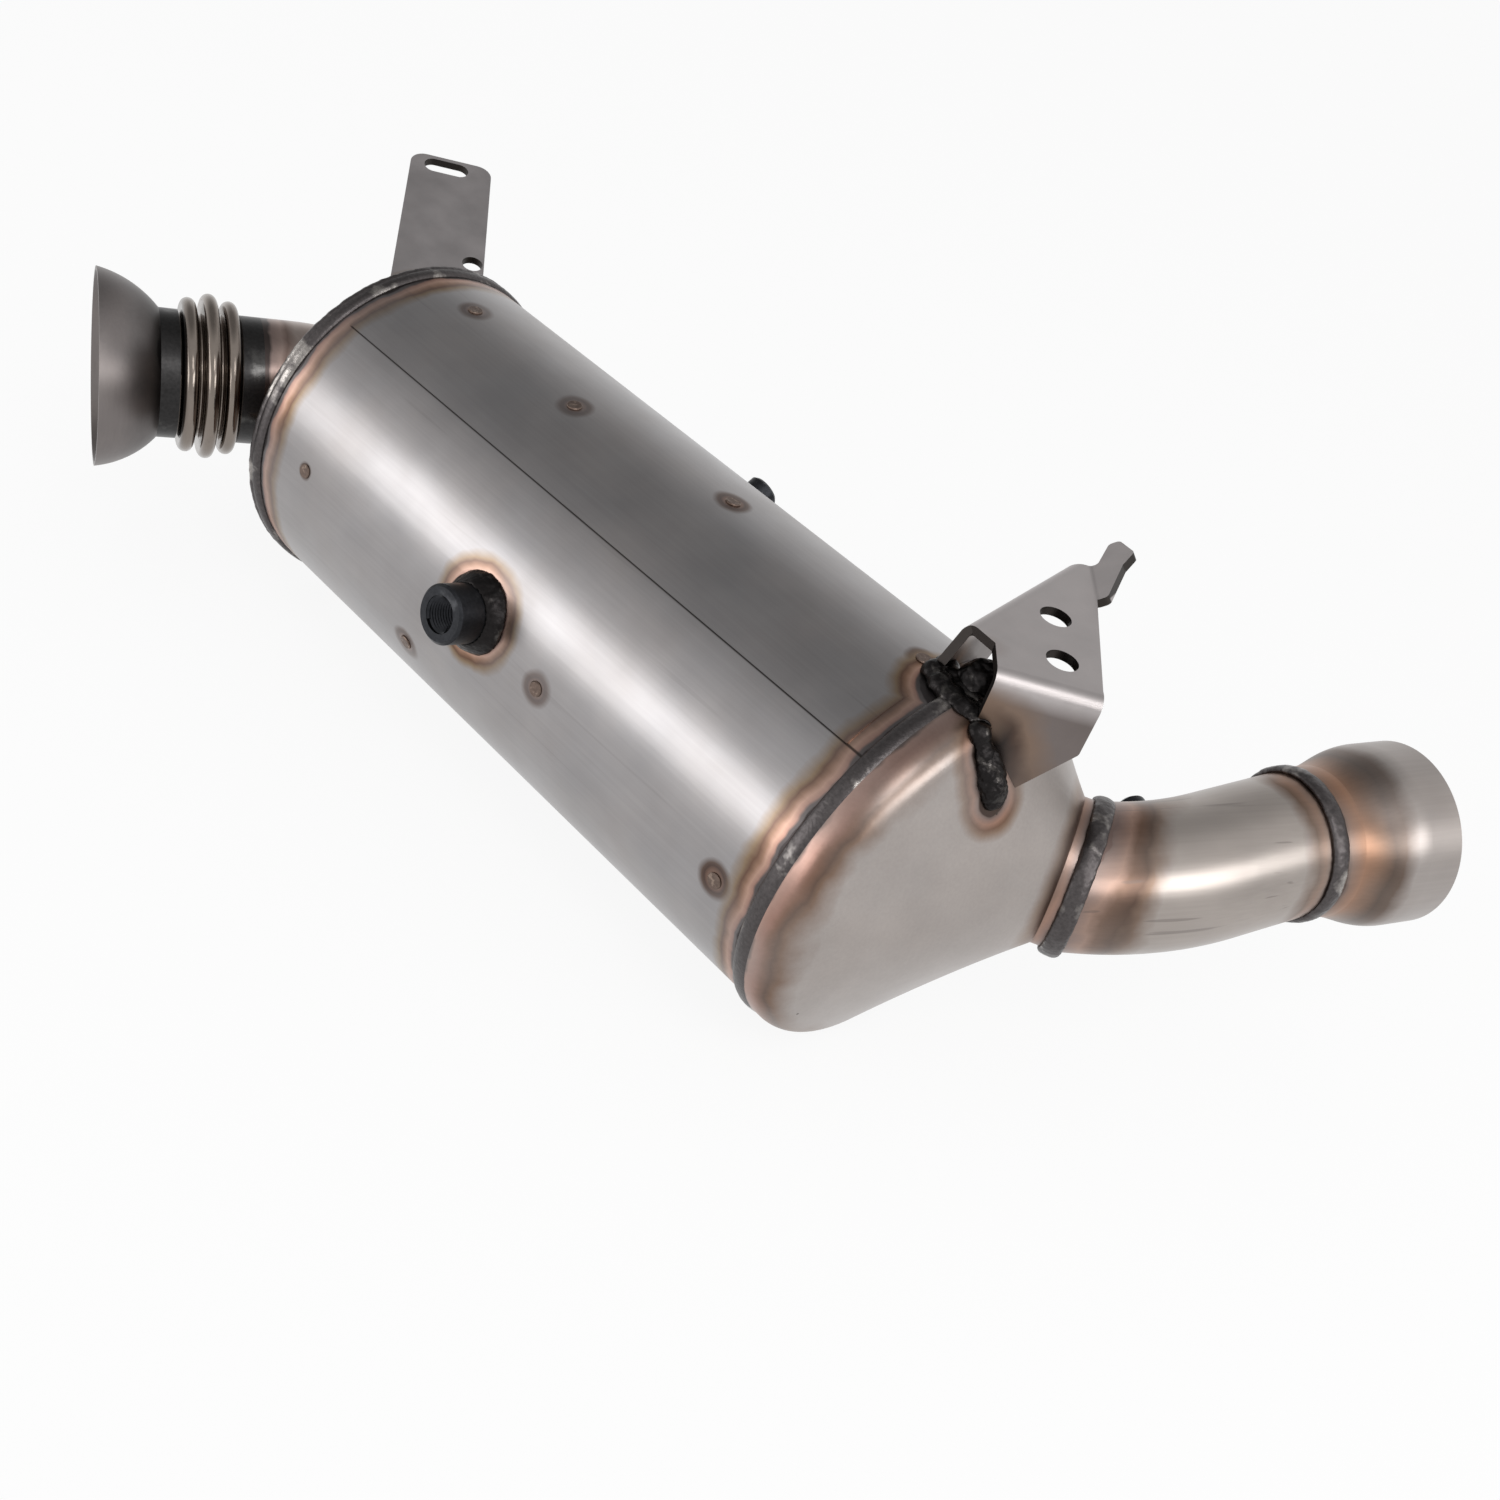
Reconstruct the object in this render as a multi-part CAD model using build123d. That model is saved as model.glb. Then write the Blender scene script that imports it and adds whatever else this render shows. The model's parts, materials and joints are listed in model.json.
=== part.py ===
from build123d import *
import os
from math import cos, degrees, hypot, radians, sin, sqrt, tan

os.makedirs("parts", exist_ok=True)

# Sizes are in millimetres and angles in degrees.
# The model is built round the canister: its axis is X with the inlet end at x = 0, and Z is square
# to the plate of the rear bracket. At the end all pieces move so that the inlet rim is the origin.
# A clock angle runs round the canister axis from +Y towards +Z.

# Clearance between a piece and what it slides into, and how near two places are the same one
fit_gap = 0.1
same_place = 0.01

# Canister shell, rolled from sheet with an overlapped seam
shell_od = 170.0
shell_wall = 1.5
shell_length = 357.0
seam_clock = 125.3
seam_step = 0.8
seam_spread = 24.0
seam_inset = 12.0

# Plug welds in four rows over the retaining rings: two rows for each brick, the catalyst's counted
# from the inlet end and the filter's from the outlet end. Each row's two clocks repeat on the far side.
catalyst_first_row = 38.6
catalyst_last_row = 124.0
filter_first_row = 145.7
filter_last_row = 29.6
plug_clocks = ((90.2, 170.7), (96.5, 197.8), (85.0, 171.4), (87.7, 177.7))
plug_d = 7.0
plug_height = 0.7
plug_chamfer = 0.4

# Retaining rings, ceramic bricks and their mats
ring_wall = 1.5
ring_width = 12.0
ring_lip = 7.0
brick_end_gap = 1.0
mat_thickness = 4.0

# Inlet end cap and the weld round the canister's inlet end
cap_wall = 1.5
cap_face_x = -2.0
cap_skirt_depth = 14.0
cap_knuckle = 6.0
end_bead_r = 2.7
end_bead_x = -0.6

# Inlet pipe line: elbow, bellows and joint cup
pipe_od = 63.5
pipe_wall = 1.5
inlet_drop = 3.0
inlet_turn = 64.0
elbow_bend_r = 55.0
elbow_exit_x = -8.0
elbow_into_cap = 4.0
elbow_lead = 15.0
elbow_bead_r = 2.6
collar_wall = 1.5
rear_collar_length = 10.0
front_collar_length = 9.0
bellows_wall = 0.6
crest_width = 7.0
crest_pitch = 9.75
crest_od = 76.0
middle_crest_od = 81.4
crest_count = 3
crest_root_gap = 1.4
crest_roundness = 0.99
liner_wall = 0.5
liner_step = 2.0
liner_cuff_length = 7.5
liner_slope = 2.5
liner_end_gap = 3.0
cup_sphere_r = 49.0
cup_wall = 2.0
cup_depth = 28.5
cup_center_back = 8.6

# Outlet cone, a pressing with its skirt over the shell and its neck to one side
cone_wall = 2.0
skirt_overlap = 6.0
skirt_length = 17.0
shoulder_r = 14.0
slant_length = 31.6
neck_clock = 8.7
neck_r = 33.0
neck_tilt = 27.0
neck_set_in = 32.0
neck_length = 8.5
skirt_bead_r = 3.4
skirt_bead_height = 2.3

# Outlet pipe and joint flare
outlet_od = 65.0
outlet_wall = 1.5
outlet_start_turn = 48.5
outlet_end_turn = 71.4
outlet_bend_r = 158.2
outlet_straight = 45.75
neck_bead_r = 3.4
flare_turn = 66.0
flare_clock = 4.6
flare_start_r = 33.6
flare_mouth_r = 41.6
flare_neck_rise = 0.6
flare_neck_length = 13.0
flare_swell_length = 30.0
flare_swell_slope = 0.12
flare_length = 60.0
flare_wall = 1.6
flare_bead_r = 3.4
bead_height = 2.4
bead_lift = 0.6

# Large sensor boss on the near side of the shell, turned and threaded, on a domed weld. Both bosses of the
# shell lie in the gap between the bricks, a little before or after its middle.
boss_od = 26.0
boss_bore_d = 16.5
boss_height = 20.5
boss_spigot_d = 22.0
boss_spigot_depth = 1.4
boss_chamfer = 1.2
front_boss_before = 1.95
front_boss_clock = 166.3
boss_weld_d = 37.0
boss_weld_height = 7.0

# Small tapped bosses, one on the far side of the shell and one on the far side of the outlet pipe
small_boss_od = 16.0
small_boss_bore_d = 10.5
small_boss_height = 10.0
small_weld_d = 22.0
small_weld_height = 3.0
rear_boss_after = 5.15
rear_boss_clock = 33.1
pipe_boss_along = 47.0
pipe_boss_roll = -5.0

# Shape of the domed welds round the bosses, as shares of their height
weld_crown = 0.62
weld_toe = 0.25

# Strap at the inlet end, a flat bar with a slot and a relief hole, wider towards its foot
strap_thickness = 4.0
strap_left = 21.7
strap_right = 20.7
strap_slant = 1.6
strap_rise = 15.0
strap_heading = 140.6
strap_foot_y = 7.6
strap_set_in = 22.5
strap_reach = 122.65
strap_corner_r = 8.0
strap_slot_length = 23.2
strap_slot_width = 10.4
strap_slot_inset = 7.7
strap_slot_side = -2.9
strap_hole_d = 10.4
strap_hole_side = 17.0
strap_hole_reach = 42.25
strap_bead_r = 2.6

# Rear bracket, one folded plate: a top plate with two bolt holes, two legs and a turned up tab
bracket_thickness = 4.0
bracket_height = 25.0
bracket_turn = 41.4
bracket_hole_d = 13.5
bracket_hole_spacing = 30.7
bracket_past_shell = 4.6
bracket_hole_mid_y = 35.05
bracket_bend_r = 6.0
bracket_corner_r = 2.5
bracket_leg_edge = 37.0
bracket_leg_left = 27.2
bracket_leg_right = 15.2
bracket_shoulder = 16.0
bracket_point_x = 37.2
bracket_point_y = 5.5
bracket_far_x = 11.5
bracket_far_y = 63.9
tab_crease_x = 20.0
tab_crease_near = 37.5
tab_rise = 40.0
tab_bend_r = 3.0
tab_land = 3.0
tab_reach = 18.8
tab_hook_out = 9.2
tab_hook_back = 12.4
tab_tip_out = 13.9
tab_waist_out = 13.0
tab_waist_down = 6.8
tab_root_out = 4.5
tab_corner_r = 2.5
side_leg_lean = 11.0
side_leg_back = 8.0
side_leg_length = 50.0
side_leg_lip = 8.0
side_leg_back_drop = 27.5
hang_leg_right_depth = 25.5
hang_leg_tip_x = 4.6
hang_leg_tip_depth = 52.0

# Welds of the bracket, heaped up from overlapping drops. The upper one crosses the end of the shell in
# two rows between the legs, and the lower one runs down the cone beside the hanging leg's foot.
upper_weld_r = 6.0
upper_weld_before = 21.0
upper_weld_after = 8.0
upper_weld_clock = 90.0
upper_weld_sag = 4.5
upper_weld_row = 4.5
lower_weld_r = 5.2
lower_weld_top_depth = 26.5
lower_weld_lap = 2.0
lower_weld_back = 7.4
lower_weld_out = 9.0
weld_drop_step = 4.0
weld_drop_change = 0.7

# Derived sizes
shell_r = shell_od / 2
plug_rows = (
    catalyst_first_row,
    catalyst_last_row,
    shell_length - filter_first_row,
    shell_length - filter_last_row,
)
brick_gap_middle = (plug_rows[1] + plug_rows[2]) / 2
front_boss_x = brick_gap_middle - front_boss_before
rear_boss_x = brick_gap_middle + rear_boss_after
neck_foot_x = shell_length - skirt_overlap + skirt_length + slant_length
neck_foot_offset = shell_r - neck_set_in
bracket_top_z = shell_r + bracket_height
bracket_hole_mid_x = shell_length + bracket_past_shell
shell_inner_r = shell_r - shell_wall
pipe_r = pipe_od / 2
cuff_r = pipe_r - collar_wall - fit_gap
outlet_r = outlet_od / 2
skirt_start_x = shell_length - skirt_overlap
skirt_end_x = skirt_start_x + skirt_length
skirt_inner_r = shell_r + fit_gap
skirt_outer_r = skirt_inner_r + cone_wall
crest_start = cup_depth + front_collar_length + crest_root_gap + fit_gap
crest_end = crest_start + (crest_count - 1) * crest_pitch + crest_width
rear_collar_start = crest_end + crest_root_gap + fit_gap
elbow_start = rear_collar_start + rear_collar_length


def radial(clock):
    """Unit vector that points out from the canister axis."""
    return Vector(0, cos(radians(clock)), sin(radians(clock)))


def heading(turn, clock):
    """Unit vector turned away from +X towards a clock angle."""
    return Vector(1, 0, 0) * cos(radians(turn)) + radial(clock) * sin(radians(turn))


def spun(face):
    """Full turn of a profile that is drawn as (along, radius)."""
    return revolve(face, Axis.X, 360)


def sheet(path, wall):
    """Closed profile of sheet metal under an outer line that runs towards +X."""
    return make_face(offset(path, amount=wall, side=Side.RIGHT))


def rod(start_x, end_x, radius):
    """Solid cylinder along the canister axis."""
    return Pos(start_x, 0, 0) * extrude(Plane.YZ * Circle(radius), end_x - start_x)


def bead_ring(radius, half_width, height):
    """Weld bead round a pipe, drawn at the origin square to X."""
    return spun(Pos(0, radius) * Ellipse(half_width, height))


# Inlet pipe line: the path from the joint rim to the canister
inlet_dir = Vector(cos(radians(inlet_turn)), sin(radians(inlet_turn)), 0)
inlet_side = Vector(sin(radians(inlet_turn)), -cos(radians(inlet_turn)), 0)
bend_center = Vector(elbow_exit_x, -elbow_bend_r, -inlet_drop)
bend_start = bend_center - inlet_side * elbow_bend_r
bend_middle = bend_center + Vector(-sin(radians(inlet_turn / 2)), cos(radians(inlet_turn / 2)), 0) * elbow_bend_r
bend_end = Vector(elbow_exit_x, 0, -inlet_drop)
inlet_rim = bend_start - inlet_dir * (elbow_lead + elbow_start)
inlet_line = Plane(origin=inlet_rim, x_dir=inlet_dir, z_dir=(0, 0, 1))


def elbow_path():
    lead_in = inlet_rim + inlet_dir * elbow_start
    run_out = Vector(elbow_into_cap, 0, -inlet_drop)
    first = Edge.make_line(lead_in, bend_start)
    turn = Edge.make_three_point_arc(bend_start, bend_middle, bend_end)
    last = Edge.make_line(bend_end, run_out)
    return Wire([first, turn, last])


def elbow_body(radius):
    face = Plane(origin=inlet_rim + inlet_dir * elbow_start, z_dir=inlet_dir) * Circle(radius)
    return sweep(face, path=elbow_path())


def inlet_elbow():
    return elbow_body(pipe_r) - elbow_body(pipe_r - pipe_wall)


def cup_radius(along, sphere_r):
    return sqrt(sphere_r ** 2 - (along + cup_center_back) ** 2)


def cup_arc(sphere_r):
    start = (0, cup_radius(0, sphere_r))
    middle = (cup_depth / 2, cup_radius(cup_depth / 2, sphere_r))
    end = (cup_depth, cup_radius(cup_depth, sphere_r))
    return ThreePointArc(start, middle, end)


def inlet_flare():
    outer = cup_arc(cup_sphere_r)
    inner = cup_arc(cup_sphere_r - cup_wall)
    rim = Line(outer @ 0, inner @ 0)
    neck = Line(outer @ 1, inner @ 1)
    return inlet_line * spun(make_face([outer, neck, inner, rim]))


def collar(start, length):
    ring = extrude(Plane.YZ * (Circle(pipe_r) - Circle(pipe_r - collar_wall)), length)
    return inlet_line * Pos(start, 0, 0) * ring


def bellows_line():
    """Outer line of the bellows, from the front cuff over the crests to the rear cuff."""
    points = [(cup_depth, cuff_r)]
    for index in range(crest_count):
        crest_r = middle_crest_od / 2 if index == crest_count // 2 else crest_od / 2
        start = crest_start + index * crest_pitch
        points.append((start, cuff_r))
        points.append((start, crest_r))
        points.append((start + crest_width, crest_r))
        points.append((start + crest_width, cuff_r))
    points.append((elbow_start, cuff_r))
    root_r = crest_roundness * (crest_pitch - crest_width) / 2
    top_r = crest_roundness * crest_width / 2
    return FilletPolyline(*points, radius=[root_r, top_r, top_r, root_r] * crest_count)


def flex_bellows():
    return inlet_line * spun(sheet(bellows_line(), bellows_wall))


def bellows_liner():
    cuff = cuff_r - bellows_wall - fit_gap
    body = cuff - liner_step
    cuff_end = cup_depth + fit_gap + liner_cuff_length
    line = Polyline(
        (cup_depth + fit_gap, cuff),
        (cuff_end, cuff),
        (cuff_end + liner_slope, body),
        (elbow_start - liner_end_gap, body),
    )
    return inlet_line * spun(sheet(line, liner_wall))


# Canister


def lap_section():
    """Crescent where the overlapping edge of the shell sheet stands proud at the seam."""
    low = radial(seam_clock - seam_spread) * shell_r
    mid = radial(seam_clock - seam_spread / 2) * (shell_r + seam_step / 2)
    top = radial(seam_clock) * (shell_r + seam_step)
    foot = radial(seam_clock) * (shell_r - shell_wall / 2)
    inner_mid = radial(seam_clock - seam_spread / 2) * (shell_r - shell_wall / 2)
    inner_low = radial(seam_clock - seam_spread) * (shell_r - shell_wall / 2)
    edges = [
        Edge.make_three_point_arc(low, mid, top),
        Edge.make_line(top, foot),
        Edge.make_three_point_arc(foot, inner_mid, inner_low),
        Edge.make_line(inner_low, low),
    ]
    return Face(Wire(edges))


def canister_shell():
    tube = rod(0, shell_length, shell_r) - rod(0, shell_length, shell_inner_r)
    lap_length = skirt_start_x - 2 * seam_inset
    lap = Pos(seam_inset, 0, 0) * extrude(lap_section(), lap_length, dir=(1, 0, 0))
    shell = tube + lap
    shell -= boss_axis(front_boss_x, front_boss_clock) * Cylinder(boss_spigot_d / 2 + fit_gap, 4 * shell_wall)
    shell -= boss_axis(rear_boss_x, rear_boss_clock) * Cylinder(small_boss_bore_d / 2, 4 * shell_wall)
    return shell


def plug_welds():
    """Low round cap of each plug weld, flat on its underside, where it touches the shell."""
    cap = Pos(0, 0, plug_height / 2) * Cylinder(plug_d / 2, plug_height)
    cap = chamfer(cap.edges().sort_by(Axis.Z)[-1], plug_chamfer)
    plugs = []
    for row_x, clocks in zip(plug_rows, plug_clocks):
        for clock in clocks:
            plugs.append(boss_axis(row_x, clock) * cap)
            plugs.append(boss_axis(row_x, clock + 180) * cap)
    return Compound(children=plugs)


def retaining_ring(row_x, lip_side):
    """Pressed ring with its lip at the end away from the brick that it holds."""
    outer = shell_inner_r - fit_gap
    start = row_x - lip_side * ring_width / 2
    line = Polyline((0, outer - ring_lip), (0, outer), (ring_width, outer))
    ring = spun(sheet(line, ring_wall))
    if lip_side < 0:
        ring = mirror(ring, Plane.YZ)
    return Pos(start, 0, 0) * ring


def monolith(first_row, last_row):
    """Brick between the lips of the two rings that hold it."""
    inset = ring_width / 2 - ring_wall - brick_end_gap
    return rod(first_row - inset, last_row + inset, shell_inner_r - mat_thickness)


def mat(first_row, last_row):
    """Fibre mat round a brick, between the two rings."""
    start = first_row + ring_width / 2 + fit_gap
    end = last_row - ring_width / 2 - fit_gap
    inner = shell_inner_r - mat_thickness + fit_gap
    return rod(start, end, shell_inner_r - fit_gap) - rod(start, end, inner)


# Inlet end


def cap_line(inset):
    """Line of the end cap from the axis out to its knuckle and along its skirt."""
    side = shell_inner_r - fit_gap - inset
    face_x = cap_face_x + inset
    return FilletPolyline((face_x, 0), (face_x, side), (cap_skirt_depth, side), radius=cap_knuckle - inset)


def inlet_end_cap():
    outer = cap_line(0)
    inner = cap_line(cap_wall)
    cap = spun(make_face([outer, Line(outer @ 1, inner @ 1), inner, Line(inner @ 0, outer @ 0)]))
    hole = Pos(cap_face_x - cap_wall, 0, -inlet_drop) * extrude(Plane.YZ * Circle(pipe_r + fit_gap), 4 * cap_wall)
    return cap - hole


def cap_filled():
    outer = cap_line(0)
    corner = (cap_skirt_depth, 0)
    return spun(make_face([outer, Line(outer @ 1, corner), Line(corner, outer @ 0)]))


def inlet_end_weld():
    bead = Pos(end_bead_x, 0, 0) * bead_ring(shell_r - shell_wall / 2, end_bead_r, end_bead_r)
    return bead - rod(0, shell_length, shell_r) - cap_filled()


def elbow_weld():
    bead = Pos(cap_face_x, 0, -inlet_drop) * bead_ring(pipe_r, elbow_bead_r, elbow_bead_r)
    return bead - elbow_body(pipe_r) - rod(cap_face_x, cap_skirt_depth, shell_inner_r)


# Outlet cone

neck_dir = heading(neck_tilt, neck_clock)
neck_foot = Vector(neck_foot_x, 0, 0) + radial(neck_clock) * neck_foot_offset
neck_end = neck_foot + neck_dir * neck_length
neck_plane = Plane(origin=neck_foot, z_dir=neck_dir)


def cone_body(inset):
    """Skirt, slanted face and neck as one solid, drawn inwards by an inset."""
    skirt = rod(skirt_start_x, skirt_end_x, skirt_outer_r - inset)
    big = Plane(origin=(skirt_end_x, 0, 0), z_dir=(1, 0, 0)) * Circle(skirt_outer_r - inset)
    back = neck_foot - neck_dir * inset
    small = Plane(origin=back, z_dir=neck_dir) * Circle(neck_r - inset)
    slant = loft([big.face(), small.face()], ruled=True)
    neck = extrude(small, neck_length + inset)
    body = skirt + slant
    corner = [edge for edge in body.edges() if abs(edge.center().X - skirt_end_x) < same_place]
    body = fillet(corner, shoulder_r - inset)
    return body + neck


def outlet_cone():
    return cone_body(0) - cone_body(cone_wall)


def outlet_end_weld():
    bead = Pos(skirt_start_x, 0, 0) * bead_ring(shell_r, skirt_bead_r, skirt_bead_height)
    return bead - rod(0, shell_length, shell_r) - rod(skirt_start_x, skirt_end_x, skirt_outer_r)


# Outlet pipe and flare

outlet_side = Plane(origin=neck_end, x_dir=(1, 0, 0), z_dir=Vector(1, 0, 0).cross(radial(neck_clock)))


def outlet_point(x, y):
    return outlet_side.from_local_coords(Vector(x, y, 0))


def outlet_arc_offset(turn):
    """Step from the start of the outlet bend to the point where the pipe heads at a turn."""
    along = outlet_bend_r * (sin(radians(turn)) - sin(radians(outlet_start_turn)))
    across = outlet_bend_r * (cos(radians(outlet_start_turn)) - cos(radians(turn)))
    return along, across


outlet_bend_end = outlet_point(*outlet_arc_offset(outlet_end_turn))
outlet_end_dir = heading(outlet_end_turn, neck_clock)
outlet_end = outlet_bend_end + outlet_end_dir * outlet_straight
flare_dir = heading(flare_turn, flare_clock)
flare_plane = Plane(origin=outlet_end, x_dir=flare_dir, z_dir=flare_dir.cross(Vector(0, 0, 1)))


def outlet_path(spare):
    """Centre line of the outlet pipe, run on at both ends by a spare length for trimming."""
    start_dir = heading(outlet_start_turn, neck_clock)
    middle = outlet_point(*outlet_arc_offset((outlet_start_turn + outlet_end_turn) / 2))
    lead = Edge.make_line(neck_end - start_dir * spare, neck_end)
    turn = Edge.make_three_point_arc(neck_end, middle, outlet_bend_end)
    run = Edge.make_line(outlet_bend_end, outlet_end + outlet_end_dir * spare)
    return Wire([lead, turn, run])


def outlet_body(radius):
    """Solid pipe between the neck's end plane and the flare's start plane."""
    spare = outlet_r
    start_dir = heading(outlet_start_turn, neck_clock)
    face = Plane(origin=neck_end - start_dir * spare, z_dir=start_dir) * Circle(radius)
    body = sweep(face, path=outlet_path(spare))
    cut_size = 4 * outlet_od
    before = Plane(origin=neck_end, z_dir=neck_dir) * Pos(0, 0, -cut_size / 2) * Box(cut_size, cut_size, cut_size)
    after = Plane(origin=outlet_end, z_dir=flare_dir) * Pos(0, 0, cut_size / 2) * Box(cut_size, cut_size, cut_size)
    return body - before - after


def outlet_pipe():
    tap = pipe_boss_axis() * Cylinder(small_boss_bore_d / 2, 4 * outlet_wall)
    return outlet_body(outlet_r) - outlet_body(outlet_r - outlet_wall) - tap


def neck_weld():
    ring = Plane(origin=neck_end, x_dir=neck_dir, z_dir=neck_dir.cross(Vector(0, 0, 1)))
    bead = ring * bead_ring(neck_r + bead_lift, neck_bead_r, bead_height)
    return bead - cone_body(0) - outlet_body(outlet_r)


def flare_line(inset):
    swell_end = flare_neck_length + flare_swell_length
    start = (0, flare_start_r - inset)
    neck = (flare_neck_length, flare_start_r + flare_neck_rise - inset)
    mouth = (swell_end, flare_mouth_r - inset)
    rim = (flare_length, flare_mouth_r - inset)
    first = Line(start, neck)
    swell = Spline(neck, mouth, tangents=[(1, flare_swell_slope), (1, 0)])
    last = Line(mouth, rim)
    return first, swell, last


def outlet_flare():
    outer = flare_line(0)
    inner = flare_line(flare_wall)
    start = Line(outer[0] @ 0, inner[0] @ 0)
    rim = Line(outer[2] @ 1, inner[2] @ 1)
    return flare_plane * spun(make_face([*outer, rim, *inner, start]))


def flare_filled():
    outer = flare_line(0)
    rim = Line(outer[2] @ 1, (flare_length, 0))
    axis = Line((flare_length, 0), (0, 0))
    start = Line((0, 0), outer[0] @ 0)
    return flare_plane * spun(make_face([*outer, rim, axis, start]))


def flare_weld():
    bead = flare_plane * bead_ring(flare_start_r - bead_lift, flare_bead_r, bead_height)
    return bead - outlet_body(outlet_r) - flare_filled()


# Bosses


def boss_axis(x, clock):
    """Plane on the shell's surface whose Z points outwards."""
    return Plane(origin=Vector(x, 0, 0) + radial(clock) * shell_r, x_dir=(1, 0, 0), z_dir=radial(clock))


def turned_boss(od, height, depth):
    """Boss blank with a chamfered mouth, drawn down to a depth below its seat."""
    body = Pos(0, 0, (height - depth) / 2) * Cylinder(od / 2, height + depth)
    return chamfer(body.edges().sort_by(Axis.Z)[-1], boss_chamfer)


def front_sensor_boss():
    """Turned boss with a saddle foot on the shell and a spigot through its hole."""
    seat = boss_axis(front_boss_x, front_boss_clock)
    body = seat * turned_boss(boss_od, boss_height, boss_spigot_depth) - rod(0, shell_length, shell_r)
    spigot_length = boss_spigot_depth + boss_height / 2
    spigot = Pos(0, 0, spigot_length / 2 - boss_spigot_depth) * Cylinder(boss_spigot_d / 2, spigot_length)
    return body + seat * spigot - seat * Cylinder(boss_bore_d / 2, 4 * boss_height)


def small_boss(seat, carrier):
    """Small tapped boss whose foot is cut to the curve of what carries it."""
    blank = turned_boss(small_boss_od, small_boss_height, small_boss_height / 2)
    return seat * blank - carrier - seat * Cylinder(small_boss_bore_d / 2, 4 * small_boss_height)


def dome_ring(inner_d, outer_d, height):
    """Domed fillet weld round a boss, with its foot drawn below the surface to be trimmed."""
    inner = inner_d / 2
    outer = outer_d / 2
    toe = -height * weld_toe
    profile = make_face(
        [
            Line((inner, -height), (inner, height)),
            ThreePointArc((inner, height), ((inner + outer) / 2, height * weld_crown), (outer, toe)),
            Line((outer, toe), (outer, -height)),
            Line((outer, -height), (inner, -height)),
        ]
    )
    return revolve(Plane.XZ * profile, Axis.Z, 360)


def front_boss_weld():
    ring = boss_axis(front_boss_x, front_boss_clock) * dome_ring(boss_od, boss_weld_d, boss_weld_height)
    return ring - rod(0, shell_length, shell_r)


def small_boss_weld(seat, carrier):
    return seat * dome_ring(small_boss_od, small_weld_d, small_weld_height) - carrier


def pipe_boss_axis():
    """Plane on the outlet pipe's surface, on the outside of its bend, whose Z points outwards."""
    turn = outlet_start_turn + degrees(pipe_boss_along / outlet_bend_r)
    center = outlet_point(*outlet_arc_offset(turn))
    along = heading(turn, neck_clock)
    upright = outlet_side.z_dir
    side = upright.cross(along)
    out = side * cos(radians(pipe_boss_roll)) + upright * sin(radians(pipe_boss_roll))
    return Plane(origin=center + out * outlet_r, x_dir=along, z_dir=out)


# Inlet strap

strap_flat = Vector(cos(radians(strap_heading)), sin(radians(strap_heading)), 0)
strap_dir = strap_flat * cos(radians(strap_rise)) + Vector(0, 0, 1) * sin(radians(strap_rise))
strap_normal = Vector(0, 0, 1) * cos(radians(strap_rise)) - strap_flat * sin(radians(strap_rise))
strap_plane = Plane(
    origin=(cap_face_x, strap_foot_y, shell_r - strap_set_in),
    x_dir=strap_dir.cross(strap_normal),
    z_dir=strap_normal,
)


def strap_right_at(reach):
    """How far the slanting right edge lies from the strap's middle line."""
    return strap_right + (strap_reach - reach) * tan(radians(strap_slant))


def strap_body():
    """Strap plate with its foot run on into the canister, before it is trimmed."""
    foot = -2 * strap_right
    outline = Polyline(
        (-strap_left, foot),
        (-strap_left, strap_reach),
        (strap_right, strap_reach),
        (strap_right_at(foot), foot),
        close=True,
    )
    plate = extrude(make_face(outline), -strap_thickness)
    ends = plate.edges().filter_by(Axis.Z).group_by(Axis.Y)[-1]
    plate = fillet(ends, strap_corner_r)
    slot = Pos(strap_slot_side, strap_reach - strap_slot_inset) * SlotOverall(strap_slot_length, strap_slot_width)
    hole = Pos(strap_hole_side, strap_hole_reach) * Circle(strap_hole_d / 2)
    plate -= extrude(slot + hole, strap_thickness * 2, both=True)
    return strap_plane * plate


def inlet_strap():
    inside = Pos(cap_face_x, 0, 0) * extrude(Plane.YZ * Circle(2 * shell_r), shell_length)
    return strap_body() - inside


def strap_weld():
    """Bead along the strap's foot on the end cap, on its upper side."""
    left = strap_foot_point(-strap_left)
    right = strap_foot_point(strap_right)
    face = Plane(origin=left, z_dir=(right - left).normalized()) * Circle(strap_bead_r)
    bead = extrude(face, (right - left).length)
    return bead - strap_body() - rod(cap_face_x, shell_length, shell_r)


def strap_foot_point(side):
    """Point of the strap's upper face, at a distance to one side, that lies on the cap's face."""
    point = strap_plane.from_local_coords(Vector(side, 0, 0))
    return point + strap_dir * ((cap_face_x - point.X) / strap_dir.X)


# Rear bracket

bracket_plane = Plane(
    origin=(bracket_hole_mid_x, bracket_hole_mid_y, bracket_top_z),
    x_dir=(cos(radians(bracket_turn)), sin(radians(bracket_turn)), 0),
    z_dir=(0, 0, 1),
)
side_run_x = bracket_far_x + bracket_point_x
side_run_y = bracket_far_y + bracket_point_y
side_run = hypot(side_run_x, side_run_y)


def bracket_top():
    """Top plate with its two bolt holes, straight beside the bend of the hanging leg."""
    outline = Polyline(
        (-bracket_leg_left, -bracket_leg_edge),
        (bracket_leg_right, -bracket_leg_edge),
        (bracket_leg_right, -bracket_leg_edge + bracket_bend_r + bracket_corner_r),
        (tab_crease_x, tab_crease_near),
        (tab_crease_x, bracket_far_y),
        (bracket_far_x, bracket_far_y),
        (-bracket_point_x, -bracket_point_y),
        (-bracket_leg_left, -bracket_shoulder),
        close=True,
    )
    plate = extrude(make_face(outline), -bracket_thickness)
    for side in (-1, 1):
        hole = Pos(0, side * bracket_hole_spacing / 2) * Circle(bracket_hole_d / 2)
        plate -= extrude(hole, 2 * bracket_thickness, both=True)
    return plate


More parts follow.
